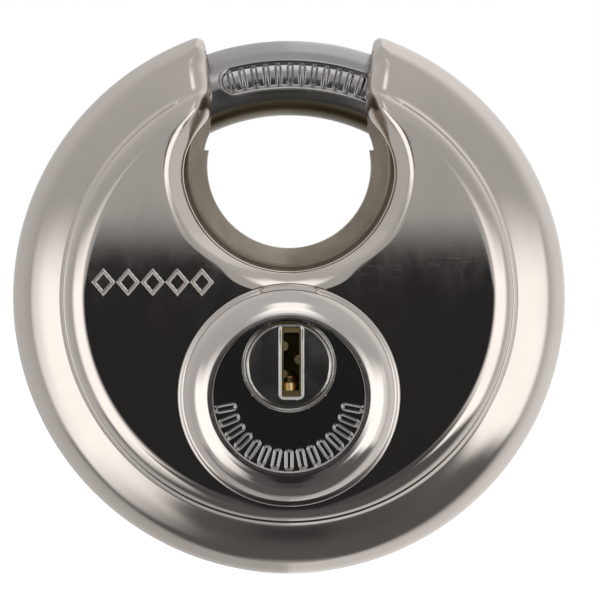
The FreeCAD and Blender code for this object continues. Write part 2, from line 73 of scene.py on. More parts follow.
# Places and sizes read from the frame
FACE_H = box_mm("rear_shell")[1][1]
liner_low, liner_high = box_mm("window_liner")
LINER_OUT_R, LINER_LIP_H = liner_high[0], liner_high[1]
WINDOW_Z = liner_low[2] + LINER_OUT_R
plate_low, plate_high = box_mm("face_plate")
PLATE_R, PLATE_H = plate_high[0], -plate_low[1]
BOSS_Z = (plate_low[2] + plate_high[2]) / 2
plug_low, plug_high = box_mm("plug_face")
PLUG_R, PLUG_H, PLUG_BACK_H = plug_high[0], -plug_low[1], -plug_high[1]
PLUG_Z = (plug_low[2] + plug_high[2]) / 2
bar_low, bar_high = box_mm("shackle_bar")
BAR_R = -bar_low[1]
BAR_PITCH_R = bar_high[2] - BAR_R
BEZEL_CREST_H = -box_mm("cylinder_bezel")[0][1]

# Shells: corners of half a section as (radius, height, rounding)
DISC_R = 34.99
SHELL_T = 1.5
SEAM = 0.35  # chamfer at the weld
FACE = [(0, FACE_H, 0), (27.08, FACE_H, 3.4)]
LEDGE = [(28.15, 9.42, 0.05), (28.4, 9.38, 0.15), (28.75, 8.9, 1.0)]
RIM = [(31.0, 8.0, 22.0), (DISC_R, 6.0, 4.7), (DISC_R, SEAM, 0), (DISC_R - SEAM, 0, 0)]
SOFT_LEDGE = [(28.45, 9.04, 2.0)]  # what the ledge fades to near the throat
RING_END_R = 31.5  # from here out the plain and the faded section are the same
RIM_R = 33  # from here out the section turns down the rim
FACE_END_R, FACE_BULGE = 27, 0.1

# The opening in the shells: window, funnel round it, shoulders and throat
WINDOW_R, FUNNEL_R, FUNNEL_H = 13.4, 15.55, 8.8
FUNNEL_SLOPE = (FACE_H - FUNNEL_H) / (FUNNEL_R - WINDOW_R)
FUNNEL_BLEND = 0.45
WINDOW_END = -12  # where the window's circle turns into the shoulder, in degrees above level
SHOULDER_Z, SHOULDER_SLOPE, SHOULDER_ROUND = 23.0, 1.3, 3.0
NECK_HALF, NECK_Z, NECK_ROUND, THROAT_FLARE = 9.9, 26.0, 6, 0.155
ROLL_TILT_R = 23.5  # from here out the rolled edge starts to lean with the ring
LINER_RECESS, BAR_GAP = 1.3, 0.3
LINER_SHOULDER_H, CHANNEL_R = LINER_LIP_H - LINER_RECESS, BAR_R + BAR_GAP
THROAT_WALL = 1.4
BOSS_HOLE_R = 14.1

# How finely the shells are divided
EDGE_STEP = 0.4  # along the opening's outline
FACE_STEP = 1.3  # over the flat face
LEDGE_MESH_R = 25.2  # the ledge's spokes start just outside this
FACE_MARGIN, LEDGE_MARGIN = 4.5, 3.2  # from the opening's edge, where its own lines take over
FUNNEL_MESH = 2.9  # lines nearer the opening's edge than this follow the funnel's reach

# Shackle
TOE, TAIL, BAR_END_ROUND = -27.5, 197.0, 1.2  # the first two are clock angles
SECTOR_FLAT_CLOCK, SECTOR_FLAT_Y = 113.5, 3.88  # past this clock angle the bar is flat behind
LABEL_OUT = 0.35  # the label's middle lies this far outside the bar's own middle

# Face plate and key slot
PLUG_HOLE_R, HOLE_CHAMFER = 5.5, 0.4
SLOT_X, SLOT_HALF_W, SLOT_CORNER = 0.3, 1.25, 0.35
SLOT_LOW, SLOT_HIGH = PLUG_Z - 4.0, PLUG_Z + 4.8
SLOT_Z, SLOT_HALF_H = (SLOT_LOW + SLOT_HIGH) / 2, (SLOT_HIGH - SLOT_LOW) / 2

# Springs under the driver pins
SPRING_WIRE_R, SPRING_TURNS, SPRING_TRAVEL = 0.16, 6, 2.0


# ---------------------------------------------------------------- numbers and curves


def smooth(x):
    x = np.clip(x, 0, 1)
    return x * x * (3 - 2 * x)


def soft_min(a, b, k):
    """The lower of two heights, blended where they differ by less than k."""
    t = np.clip(0.5 + (b - a) / (2 * k), 0, 1)
    return b + (a - b) * t - k * t * (1 - t)


def rounded(corners, steps=60):
    """A dense line through (a, b, rounding) corners, with each corner turned into an arc."""
    line = []
    for i, (a, b, rounding) in enumerate(corners):
        p = np.array((a, b), float)
        if rounding == 0:
            line.append(p)
            continue
        before = np.array(corners[i - 1][:2]) - p
        after = np.array(corners[i + 1][:2]) - p
        before /= np.linalg.norm(before)
        after /= np.linalg.norm(after)
        half = math.acos(before @ after) / 2
        bisector = before + after
        centre = p + bisector / np.linalg.norm(bisector) * rounding / math.sin(half)
        start = p + before * rounding / math.tan(half) - centre
        end = p + after * rounding / math.tan(half) - centre
        a0 = math.atan2(start[1], start[0])
        turn = (math.atan2(end[1], end[0]) - a0 + math.pi) % (2 * math.pi) - math.pi
        for k in range(steps + 1):
            angle = a0 + turn * k / steps
            line.append(centre + rounding * np.array((math.cos(angle), math.sin(angle))))
    return np.array(line)


def lengths(line):
    steps = np.linalg.norm(np.diff(line, axis=0), axis=1)
    return np.concatenate([[0], np.cumsum(steps)])


def resample(line, spacing):
    s = lengths(line)
    count = max(2, int(s[-1] / spacing) + 1)
    at = np.linspace(0, s[-1], count)
    return np.stack([np.interp(at, s, line[:, 0]), np.interp(at, s, line[:, 1])], -1)


def circle(radius, spacing, centre=(0, 0)):
    count = max(8, int(math.ceil(2 * math.pi * radius / spacing)))
    angle = np.arange(count) * 2 * math.pi / count
    return np.stack([np.sin(angle), np.cos(angle)], -1) * radius + np.array(centre)


def closed(line):
    return np.vstack([line, line[:1]])


def out_from(p, height=0):
    """How far flat points lie from the middle, or from a centre at another height."""
    return np.hypot(p[:, 0], p[:, 1] - height)


def outward(ring, height, radius):
    """Unit directions away from the axis of a ring that is centred at that height."""
    return np.stack([ring[:, 0], 0 * ring[:, 0], ring[:, 1] - height], -1) / radius


# ---------------------------------------------------------------- meshes


def triangulate(points, loops, keep):
    """Triangles over points and closed boundary lines, where keep says so of a triangle's centre."""
    coords = [tuple(p) for p in points]
    edges = []
    for line in loops:
        first = len(coords)
        coords += [tuple(p) for p in line]
        edges += [(first + i, first + i + 1) for i in range(len(line) - 1)]
        edges.append((len(coords) - 1, first))
    made = delaunay_2d_cdt(coords, edges, [], 0, 1e-5)
    vertices = np.array([tuple(v) for v in made[0]])
    triangles = np.array([f for f in made[2] if len(f) == 3])
    kept = triangles[keep(vertices[triangles].mean(axis=1))]
    used, again = np.unique(kept, return_inverse=True)
    return vertices[used], again.reshape(-1, 3)


def surface_normals(surface, p, reach=0.01):
    """Unit normals of a surface given as a function of flat coordinates."""
    across, along = np.array((reach, 0)), np.array((0, reach))
    du = surface(p + across) - surface(p - across)
    dv = surface(p + along) - surface(p - along)
    n = np.cross(du, dv)
    return n / np.maximum(np.linalg.norm(n, axis=1, keepdims=True), 1e-12)


def grid_faces(rows, columns, joined=False):
    """Four-sided faces between rows of points; joined rows run round and meet their own start."""
    faces = []
    for i in range(rows - 1):
        for j in range(columns if joined else columns - 1):
            k = (j + 1) % columns
            faces.append((i * columns + j, i * columns + k, (i + 1) * columns + k, (i + 1) * columns + j))
    return faces


class Skin:
    """Vertices, faces and vertex normals of one piece, gathered patch by patch."""

    def __init__(self):
        self.points, self.faces, self.normals = [], [], []

    def add(self, points, faces, normals):
        first = len(self.points)
        faces = np.array(faces)
        a, b, c = (points[faces[:, i]] for i in range(3))
        wrong = np.einsum("ij,ij->i", np.cross(b - a, c - a), normals[faces].mean(axis=1)) < 0
        faces[wrong] = faces[wrong][:, ::-1]
        self.points += points.tolist()
        self.normals += normals.tolist()
        self.faces += (faces + first).tolist()

    def strip(self, rows, normals):
        """A wall through equally long rows of points; normals is one row of directions."""
        rows = np.array(rows)
        faces = grid_faces(rows.shape[0], rows.shape[1])
        self.add(rows.reshape(-1, 3), faces, np.tile(normals, (rows.shape[0], 1)))

    def piece(self, name, node, body, slot, material):
        return piece(name, self.points, self.faces, self.normals, node, body, material)


def piece(name, points, faces, normals, node, body, material):
    """An object that stands in for a node; without normals it is smooth except at sharp corners."""
    mesh = bpy.data.meshes.new(name)
    mesh.from_pydata((np.array(points) * MM).tolist(), [], faces)
    mesh.polygons.foreach_set("use_smooth", [True] * len(mesh.polygons))
    mesh.materials.append(material)
    if normals is None:
        mesh.set_sharp_from_angle(angle=math.radians(35))
    else:
        mesh.normals_split_custom_set_from_vertices(normals)
    obj = bpy.data.objects.new(name, mesh)
    bpy.context.scene.collection.objects.link(obj)
    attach(obj, body)
    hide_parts(node)
    return obj


# ---------------------------------------------------------------- the opening in the shells


def right_outline():
    """The opening's right half from its lowest point to above the rim: window, shoulder, throat."""
    window_steps, corner_steps, past = 79, 12, 20
    angle = np.radians(np.linspace(-90, WINDOW_END, window_steps))
    window = np.stack([WINDOW_R * np.cos(angle), WINDOW_Z + WINDOW_R * np.sin(angle)], -1)
    start, ahead = window[-1], np.array((-math.sin(angle[-1]), math.cos(angle[-1])))
    shoulder_line = np.array((-1, SHOULDER_SLOPE)) / math.hypot(1, SHOULDER_SLOPE)
    climb = SHOULDER_Z - SHOULDER_SLOPE * (start[0] - NECK_HALF) - start[1]
    run = climb / (ahead[1] + SHOULDER_SLOPE * ahead[0])
    turn = math.acos(ahead @ shoulder_line)
    foot = (*(start + run * ahead), run / math.tan(turn / 2))
    shoulder = (NECK_HALF, SHOULDER_Z, SHOULDER_ROUND)
    neck_end = (NECK_HALF, NECK_Z, NECK_ROUND)
    past_rim = (NECK_HALF + past * THROAT_FLARE, NECK_Z + past, 0)
    neck = rounded([(*start, 0), foot, shoulder, neck_end, past_rim], corner_steps)
    return np.vstack([window[:-1], neck[1:]])


OUTLINE = right_outline()


def opening_distance(x, z):
    """Distance from the opening's outline, positive in the metal, and the direction away from it."""
    q = np.stack([np.abs(x), z], -1)
    best = np.full(len(q), np.inf)
    away = np.zeros_like(q)
    signed = np.zeros(len(q))
    for start, end in zip(OUTLINE[:-1], OUTLINE[1:]):
        step = end - start
        t = np.clip((q - start) @ step / (step @ step), 0, 1)
        off = q - start - t[:, None] * step
        d = np.hypot(off[:, 0], off[:, 1])
        square = np.array((step[1], -step[0])) / np.linalg.norm(step)
        side = np.where(off @ square < -1e-9, -1.0, 1.0)
        unit = off / np.maximum(d, 1e-4)[:, None] * side[:, None]
        direction = np.where(d[:, None] > 1e-4, unit, square)
        near = d < best
        best = np.where(near, d, best)
        away = np.where(near[:, None], direction, away)
        signed = np.where(near, d * side, signed)
    away[:, 0] *= np.where(x < 0, -1, 1)
    return signed, away


# ---------------------------------------------------------------- shells

PROFILE = rounded(FACE + LEDGE + RIM)
PROFILE_S = lengths(PROFILE)
SOFT_PROFILE = rounded(FACE + SOFT_LEDGE + RIM)
# Up to these points the radius grows, so a radius names one place on the section
MONOTONE = int(np.argmax(PROFILE[:, 0] > DISC_R - 1e-4))
SOFT_MONOTONE = int(np.argmax(SOFT_PROFILE[:, 0] > DISC_R - 1e-4))


def profile_s(r):
    return np.interp(r, PROFILE[:MONOTONE, 0], PROFILE_S[:MONOTONE])


def profile_r(s):
    return np.interp(s, PROFILE_S, PROFILE[:, 0])


def profile_height(s):
    return np.interp(s, PROFILE_S, PROFILE[:, 1])


def soft_height(r):
    """Height of the section whose ledge is faded out, up to the rim's corner."""
    return np.interp(r, SOFT_PROFILE[:SOFT_MONOTONE, 0], SOFT_PROFILE[:SOFT_MONOTONE, 1])


def roll_outward(s, r):
    """Outward direction (radial, axial) for the rolled edge, tilting steadily from face to ring."""
    step = 0.02
    s = np.maximum(s, profile_s(RING_END_R))
    dr = profile_r(s + step) - profile_r(s - step)
    dh = profile_height(s + step) - profile_height(s - step)
    tilt = np.arctan2(-dh, dr) * smooth((r - ROLL_TILT_R) / (RING_END_R - ROLL_TILT_R))
    return np.sin(tilt), np.cos(tilt)


def edge_roll(z):
    """Radius of the rolled edge: tight on the window's lip, full in the throat."""
    lip, rise, fall = 0.35, 2.1, 1.35
    return lip + rise * smooth((z - 19.0) / 5) - fall * smooth((z - 29.5) / 3.5)


def funnel_foot(z):
    """Height of the funnel at the window's edge: a little higher beside the cylinder."""
    lift = 0.55
    return FUNNEL_H + lift * smooth((8.5 - z) / 5)


def funnel_blend(z):
    """How softly the funnel meets the face: most softly beside the cylinder."""
    softer = 0.7
    return FUNNEL_BLEND + softer * smooth((4.5 - z) / 3)


def funnel_reach(z):
    """How far out the funnel runs into the face, as a share of its reach at the window's sides."""
    return (FACE_H - funnel_foot(z) + funnel_blend(z)) / (FACE_H - FUNNEL_H + FUNNEL_BLEND)


def diamonds(x, z):
    """Depth of the engraved row of outlined diamonds on the front face."""
    half_w, half_h, pitch, first, middle_z = 1.2, 1.4, 3.1, -23.35, 1.95
    depth, line_w, last = 0.1, 0.17, 4
    k = np.clip(np.round((x - first) / pitch), 0, last)
    shape = np.abs(x - first - k * pitch) / half_w + np.abs(z - middle_z) / half_h - 1
    distance = np.abs(shape) * half_w * half_h / math.hypot(half_w, half_h)
    return depth * smooth(1.3 - distance / line_w)


def shell_surface(side):
    """The shell's outer surface, as a function of flat coordinates.

    In flat coordinates a point lies at its clock angle, as far from the middle as the section is long.
    """
    fade_from, fade_over, bulge_end, bulge_fade = 2.7, 2.2, 28.4, 1.5

    def surface(p):
        s = np.hypot(p[:, 0], p[:, 1])
        clock = np.arctan2(p[:, 0], p[:, 1])
        r = profile_r(s)
        h = profile_height(s)
        out_r, out_h = roll_outward(s, r)
        x, z = r * np.sin(clock), r * np.cos(clock)
        d, _ = opening_distance(x, z)
        d = np.maximum(d, 0)
        near_edge = (1 - smooth((d - fade_from) / fade_over)) * (r < RING_END_R)
        h = h + (soft_height(r) - h) * near_edge
        bulge = FACE_BULGE * (np.minimum(r, FACE_END_R) / FACE_END_R) ** 2
        h = h - bulge * smooth((bulge_end - r) / bulge_fade)
        if side == FRONT:
            h = h - diamonds(x, z)
        funnel = funnel_foot(z) + FUNNEL_SLOPE * d
        h = np.where(r < RING_END_R, soft_min(h, funnel, funnel_blend(z)), h)
        roll = edge_roll(z)
        drop = roll - np.sqrt(np.maximum(roll**2 - np.maximum(roll - d, 0) ** 2, 0))
        r = r - out_r * drop
        h = h - out_h * drop
        return np.stack([r * np.sin(clock), side * h, r * np.cos(clock)], -1)

    return surface


def to_flat(x, z):
    s, clock = profile_s(np.hypot(x, z)), np.arctan2(x, z)
    return np.stack([s * np.sin(clock), s * np.cos(clock)], -1)


def from_flat(p):
    r = profile_r(np.hypot(p[:, 0], p[:, 1]))
    clock = np.arctan2(p[:, 0], p[:, 1])
    return r * np.sin(clock), r * np.cos(clock)


def flat_distance(p):
    return opening_distance(*from_flat(p))[0]


def moved_outline(offset):
    """The opening's right outline, moved into the metal, and drawn in where the funnel is shorter."""
    line = resample(OUTLINE, EDGE_STEP / 8)
    steps = np.gradient(line, axis=0)
    normal = np.stack([steps[:, 1], -steps[:, 0]], -1) / np.linalg.norm(steps, axis=1)[:, None]
    if offset > FUNNEL_MESH:
        return line + offset * normal
    moved = line
    for _ in range(5):
        moved = line + offset * funnel_reach(moved[:, 1:]) * normal
    return moved


def outline_flat(offset):
    """The moved outline in flat coordinates: by distance as far as the rim's corner, then down the rim."""
    line = moved_outline(offset)
    r = np.hypot(line[:, 0], line[:, 1])
    throat = line[:, 1] > NECK_Z
    inner = (r < RIM_R) | ~throat
    side = line[inner][::8]
    side = side[side[:, 0] > -1e-6]
    s = np.append(np.arange(float(profile_s(RIM_R + 0.1)), PROFILE_S[-1] - 0.1, EDGE_STEP), PROFILE_S[-1])
    x = np.interp(profile_r(s), r[throat], line[throat, 0])
    clock = np.arcsin(x / profile_r(s))
    outer = np.stack([s * np.sin(clock), s * np.cos(clock)], -1)
    return np.vstack([to_flat(side[:, 0], side[:, 1]), outer])


def section_points():
    """Circles over the flat face and spokes over ledge, ring and rim, clear of the opening's edge."""
    end = PROFILE_S[-1]
    # Radii and lengths along the section, closest together where it bends
    crest = [28.09, 28.12, 28.15, 28.18, 28.22]
    shoulder = profile_s(np.concatenate([np.arange(25.3, 28.0, 0.22), crest]))
    step = [28.27, 28.32, 28.36, 28.4, 28.44, 28.5, 28.6, 28.68, 28.74, 28.8, 28.88, 29.0, 29.5]
    slope = profile_s([30.2, 31.0, 31.7, 32.0])
    corner = np.arange(float(profile_s(32.1)), end - 3.0, 0.42)
    rim = end - np.array([2.9, 2.4, 1.6, 0.9, 0.52, 0.48])
    levels = np.concatenate([shoulder, profile_s(step), slope, corner, rim])
    clock = np.radians(np.arange(0, 360, 0.75))
    spokes = np.stack([np.sin(clock), np.cos(clock)], -1)
    flat_face = [circle(s, FACE_STEP) for s in np.arange(FACE_STEP, 25.0, FACE_STEP)]
    points = np.vstack(flat_face + [spokes * s for s in levels])
    margin = np.where(out_from(points) > LEDGE_MESH_R, LEDGE_MARGIN, FACE_MARGIN)
    return points[flat_distance(points) > margin]


def edge_points():
    """Lines along the opening, closest together on its rolled edge; the outer ones only on the face."""
    near = (0.02, 0.07, 0.15, 0.27, 0.42, 0.6, 0.85, 1.15, 1.4, 1.6, 1.8, 2.0, 2.2, 2.4, 2.6, 2.8, 3.05)
    far = (3.3, 3.6, 4.0, 4.4)
    lines = []
    for offset in near + far:
        line = outline_flat(offset)
        reach = 1 if offset > FUNNEL_MESH else funnel_reach(line[:, 1])
        true = np.abs(flat_distance(line) - offset * reach) < 0.015
        line = line[true & ((offset in near) | (out_from(line) < LEDGE_MESH_R))]
        lines += [line, line * (-1, 1)]
    return np.vstack(lines)


def with_boss(points):
    """Rings close round the collar's hole instead of the face's own points."""
    rings_end, nearest = 15.6, 14.18
    q = out_from(points, BOSS_Z)
    shared = (out_from(points) > LEDGE_MESH_R) | (flat_distance(points) < FACE_MARGIN)
    points = points[(q > rings_end) | ((q > nearest) & shared)]
    rings = np.vstack([circle(radius, 0.7, (0, BOSS_Z)) for radius in (14.2, 14.5, 15.0, 15.4)])
    rings = rings[(out_from(rings) < LEDGE_MESH_R) & (flat_distance(rings) > FACE_MARGIN)]
    return np.vstack([points, rings])


def with_marks(points):
    """A fine grid under the engraved diamonds instead of the face's own points."""
    left, right, low, high, step = -25.1, -9.4, 0.15, 3.8, 0.08
    x, z = np.meshgrid(np.arange(left, right, step), np.arange(low, high, step))
    marks = np.stack([x.ravel(), z.ravel()], -1)
    marks = marks[out_from(marks) < LEDGE_MESH_R]
    middle_x, middle_z, half_w, half_h = -17.25, 1.95, 7.95, 1.95
    under = (np.abs(points[:, 0] - middle_x) < half_w) & (np.abs(points[:, 1] - middle_z) < half_h)
    return np.vstack([points[~under], marks])


def shell_points(side):
    """Places in a shell's flat coordinates, closer together where the surface bends."""
    points = np.vstack([section_points(), edge_points()])
    if side == FRONT:
        points = with_marks(with_boss(points))
    return points[out_from(points) < PROFILE_S[-1] - 0.05]


def shell_normals(surface, flat, points, side):
    """Normals that face out of the shell, and into the opening along its edge."""
    normals = surface_normals(surface, flat)
    s = out_from(flat)
    to_middle = normals[:, 1] * side < 0
    normals[to_middle & (s < profile_s(RIM_R + 1))] *= -1
    to_axis = np.einsum("ij,ij->i", normals, points * (1, 0, 1)) < 0
    normals[to_axis & (s > profile_s(RIM_R))] *= -1
    d, away = opening_distance(*from_flat(flat))
    edge = d < 0.01
    normals[edge] = np.stack([-away[edge, 0], np.zeros(edge.sum()), -away[edge, 1]], -1)
    return normals


def shell(side, name, node, material):
    """One dish: its skin, the walls of its opening, and in front the hole for the collar."""
    surface = shell_surface(side)
    right = outline_flat(0)
    left = right[::-1] * (-1, 1)
    mouth = math.atan2(*right[-1])
    arc = np.linspace(mouth, 2 * math.pi - mouth, 260)[1:-1]
    rim = np.stack([np.sin(arc), np.cos(arc)], -1) * PROFILE_S[-1]
    loops = [np.vstack([left[:-1], right, rim])]
    hole = circle(BOSS_HOLE_R, 0.6, (0, BOSS_Z))
    if side == FRONT:
        loops.append(hole)

    def keep(centres):
        inside = flat_distance(centres) > 0
        in_hole = (side == FRONT) & (out_from(centres, BOSS_Z) <= BOSS_HOLE_R)
        return inside & ~in_hole

    flat, faces = triangulate(shell_points(side), loops, keep)
    points = surface(flat)
    skin = Skin()
    skin.add(points, faces, shell_normals(surface, flat, points, side))
    for mirror in (1, -1):
        add_walls(skin, surface, right * (mirror, 1), side, mirror)
    if side == FRONT:
        ring = closed(hole)
        top = surface(ring)
        skin.strip([top, top - (0, side * SHELL_T, 0)], -outward(ring, BOSS_Z, BOSS_HOLE_R))
    return skin.piece(name, node, "case", "stainless_body", material)


def add_walls(skin, surface, line, side, mirror):
    """The walls that turn in from the opening's edge, down to the liner or the shackle's channel."""
    wall_rows = 7
    top = surface(line)
    x, z = top[:, 0], top[:, 2]
    r = np.hypot(x, z)
    from_bar = np.abs(r - BAR_PITCH_R)
    channel = np.sqrt(np.maximum(CHANNEL_R**2 - from_bar**2, 0))
    low = np.where(r < BAR_PITCH_R - CHANNEL_R, LINER_SHOULDER_H, channel)
    low = np.minimum(low, np.abs(top[:, 1]))
    _, away = opening_distance(x, z)
    inward = np.stack([-away[:, 0], 0 * x, -away[:, 1]], -1)
    foot = np.stack([x, side * low, z], -1)
    skin.strip([top + (foot - top) * t for t in np.linspace(0, 1, wall_rows)], inward)
    at_bar = from_bar < CHANNEL_R
    add_sleeve(skin, foot[at_bar], r[at_bar], mirror)


def add_sleeve(skin, rim, r, mirror):
    """The short sleeve round the shackle: the wall's foot, swept a little way round the disc's axis."""
    turn = mirror * THROAT_WALL / BAR_PITCH_R
    c, s = math.cos(turn), math.sin(turn)
    x, y, z = rim.T
    swept = np.stack([x * c + z * s, y, z * c - x * s], -1)
    to_bar = (BAR_PITCH_R - r) / r
    hollow = np.stack([x * to_bar, -y, z * to_bar], -1) / CHANNEL_R
    skin.strip([rim, swept], hollow)


# ---------------------------------------------------------------- shackle


def shackle_label(clock, across):
    """Height of the bar's sunk label: a capsule with raised ribs, at a clock angle and a distance out."""
    centre, half_length, half_width = 3.35, 8.7, 1.6
    along = np.radians(clock - centre) * (BAR_PITCH_R + LABEL_OUT)
    edge = np.hypot(np.maximum(np.abs(along) - half_length, 0), across) - half_width
    sunk, bead_h = 0.3, 0.16
    pocket = -sunk * smooth(-edge / 0.3)
    bead = bead_h * smooth(1 - np.abs(edge - 0.12) / 0.24)
    pitch, last, rib_half_length, rib_r, rib_h = 1.5, 6, 0.95, 0.3, 0.34
    k = np.clip(np.round(along / pitch), -last, last)
    rib = np.hypot(along - k * pitch, np.maximum(np.abs(across) - rib_half_length, 0)) - rib_r
    raised = rib_h * smooth(0.5 - rib / 0.3)
    return pocket + bead + raised


def shackle(material):
    """The bent bar: columns run round the bar, closest together over the label."""
    label_from, label_to, fine_columns = -20, 26, 340
    toe_side, tail_side = np.linspace(TOE, label_from, 10), np.linspace(label_to, TAIL, 130)
    label_clock = np.linspace(label_from, label_to, fine_columns)
    clock = np.concatenate([toe_side[:-1], label_clock, tail_side[1:]])
    mm_per_degree = math.radians(1) * BAR_PITCH_R
    ends = np.linspace(0, BAR_END_ROUND, 8)[:-1] / mm_per_degree
    clock = clock[(clock > TOE + ends[-1]) & (clock < TAIL - ends[-1])]
    clock = np.concatenate([TOE + ends, clock, (TAIL - ends)[::-1]])
    # Degrees round the bar from its front, closest together over the label
    below, label, above = np.linspace(-62, -24, 16), np.linspace(-24, 36, 76), np.linspace(36, 62, 12)
    back = np.linspace(62, 298, 48)
    round_bar = np.radians(np.concatenate([below[:-1], label[:-1], above[:-1], back[:-1]]))
    c, a = np.meshgrid(clock, round_bar, indexing="ij")
    to_end = np.minimum(c - TOE, TAIL - c) * mm_per_degree
    short = np.maximum(BAR_END_ROUND - to_end, 0)
    radius = BAR_R - BAR_END_ROUND + np.sqrt(BAR_END_ROUND**2 - short**2)
    facing = np.cos(a) > 0.3  # the front of the bar, where the label can lie
    radius = radius + np.where(facing, shackle_label(c, BAR_R * np.sin(a) - LABEL_OUT), 0)
    r = BAR_PITCH_R + radius * np.sin(a)
    y = -radius * np.cos(a)
    y = np.where(c > SECTOR_FLAT_CLOCK, np.minimum(y, SECTOR_FLAT_Y), y)
    angle = np.radians(c)
    points = np.stack([r * np.sin(angle), y, r * np.cos(angle)], -1)
    rows, columns = c.shape
    points = points.reshape(-1, 3)
    faces = [f[::-1] for f in grid_faces(rows, columns, joined=True)]
    faces.append(list(range(columns)))
    faces.append(list(range((rows - 1) * columns, rows * columns))[::-1])
    name, node, slot = "shackle_bent_bar", "shackle_bar", "shackle_steel"
    return piece(name, points, faces, None, node, "shackle", material)


# ---------------------------------------------------------------- cylinder's front


def bezel(material):
    """Domed collar on a thin rim; the rim is filled flush for a short stretch at the top."""
    foot_h, rim_h = FACE_H - SHELL_T, FACE_H + 0.25
    rim_r, dome_r, crest_r = 14.0, 13.3, 10.25
    dome = [
        (9.53, PLATE_H + 0.02, 0),
        (9.53, BEZEL_CREST_H, 0.07),
        (crest_r, BEZEL_CREST_H, 0.8),
        (10.9, BEZEL_CREST_H - 0.16, 2.5),
        (11.8, BEZEL_CREST_H - 0.55, 3.0),
        (12.6, BEZEL_CREST_H - 1.04, 3.0),
    ]
    rim = [(dome_r, BEZEL_CREST_H - 1.7, 0.4), (dome_r, rim_h + 0.1, 0.12), (rim_r, rim_h, 0.22)]
    section = resample(rounded(dome + rim + [(rim_r, foot_h, 0)], 16), 0.09)
    clock = np.radians(np.arange(-180, 180))
    s, a = np.meshgrid(np.arange(len(section)), clock, indexing="ij")
    r, h = section[s, 0], section[s, 1]
    filled = 1 - smooth((np.abs(np.degrees(a)) - 14.5) / 1.4)
    flush = BEZEL_CREST_H - 1.6 - 0.55 * (r - dome_r) - 0.35 * smooth((r - rim_r + 0.25) / 0.25)
    on_rim = (r > dome_r - 1e-6) & (h > rim_h - 0.3)
    h = np.where(on_rim, h + np.maximum(flush - h, 0) * filled, h)
    points = np.stack([r * np.sin(a), -h, BOSS_Z + r * np.cos(a)], -1).reshape(-1, 3)
    faces = grid_faces(*s.shape, joined=True)
    return piece("bezel_collar", points, faces, None, "cylinder_bezel", "case", material)


def tick_marks(x, z):
    """Depth of the engraved arc of outlined bars round the lower part of the face plate."""
    clock = np.degrees(np.arctan2(x, z - BOSS_Z)) % 360
    r = np.hypot(x, z - BOSS_Z)
    first, last, count, middle_r = 101.0, 259.0, 15, 8.1
    half_length, bar_r, line_w, depth = 0.85, 0.38, 0.14, 0.09
    pitch = (last - first) / (count - 1)
    k = np.clip(np.round((clock - first) / pitch), 0, count - 1)
    sideways = np.radians(clock - first - k * pitch) * r
    bar = np.hypot(sideways, np.maximum(np.abs(r - middle_r) - half_length, 0)) - bar_r
    return depth * smooth(1.2 - np.abs(bar) / line_w)


def plate_points():
    """Places on the face plate: a fine grid under the marks, and rings elsewhere."""
    marks_in, marks_out, marks_top, step, clear = 6.6, 9.3, 1.6, 0.075, 0.02
    across = np.arange(-marks_out, marks_out + 0.01, step)
    x, z = np.meshgrid(across, np.arange(BOSS_Z - marks_out, BOSS_Z + marks_top, step))
    marks = np.stack([x.ravel(), z.ravel()], -1)
    r = out_from(marks, BOSS_Z)
    rings = [circle(radius, 0.5, (0, BOSS_Z)) for radius in (1.5, 3, 4.5, 6, 9.35, 9.6)]
    rings += [circle(radius, 0.3, (0, PLUG_Z)) for radius in (5.62, 5.76, 5.88, 5.92, 6.1)]
    points = np.vstack([marks[(r > marks_in) & (r < marks_out)], *rings])
    on_plate = out_from(points, BOSS_Z) < PLATE_R - clear
    return points[on_plate & (out_from(points, PLUG_Z) > PLUG_HOLE_R + clear)]


def facing_front(normals):
    return normals * np.where(normals[:, 1:2] > 0, -1, 1)


def face_plate(material):
    def surface(p):
        chamfer = np.clip(PLUG_HOLE_R + HOLE_CHAMFER - out_from(p, PLUG_Z), 0, HOLE_CHAMFER)
        h = PLATE_H - chamfer - tick_marks(p[:, 0], p[:, 1])
        return np.stack([p[:, 0], -h, p[:, 1]], -1)

    def keep(centres):
        on_plate = out_from(centres, BOSS_Z) < PLATE_R
        return on_plate & (out_from(centres, PLUG_Z) > PLUG_HOLE_R)

    outer, hole = circle(PLATE_R, 0.4, (0, BOSS_Z)), circle(PLUG_HOLE_R, 0.25, (0, PLUG_Z))
    flat, faces = triangulate(plate_points(), [outer, hole], keep)
    skin = Skin()
    skin.add(surface(flat), faces, facing_front(surface_normals(surface, flat)))
    ring = closed(hole)
    top = np.stack([ring[:, 0], 0 * ring[:, 0] - PLATE_H + HOLE_CHAMFER, ring[:, 1]], -1)
    foot = top + (0, PLATE_H - HOLE_CHAMFER - PLUG_BACK_H, 0)
    skin.strip([top, foot], -outward(ring, PLUG_Z, PLUG_HOLE_R))
    return skin.piece("plate_with_marks", "face_plate", "case", "dark_plate", material)


def slot_distance(p):
    """Distance from the key slot's outline, negative inside the slot."""
    w = np.abs(p[:, 0] - SLOT_X) - SLOT_HALF_W + SLOT_CORNER
    h = np.abs(p[:, 1] - SLOT_Z) - SLOT_HALF_H + SLOT_CORNER
    outside = np.hypot(np.maximum(w, 0), np.maximum(h, 0))
    return outside + np.minimum(np.maximum(w, h), 0) - SLOT_CORNER


def slot_line(grow):
    """The key slot's outline, moved outward."""
    g = grow + SLOT_CORNER
    x0, x1 = SLOT_X - SLOT_HALF_W - grow, SLOT_X + SLOT_HALF_W + grow
    z0, z1 = SLOT_LOW - grow, SLOT_HIGH + grow
    start = (SLOT_X, z0, 0)
    corners = [start, (x1, z0, g), (x1, z1, g), (x0, z1, g), (x0, z0, g), start]
    return resample(rounded(corners, 10), 0.2)[:-1]


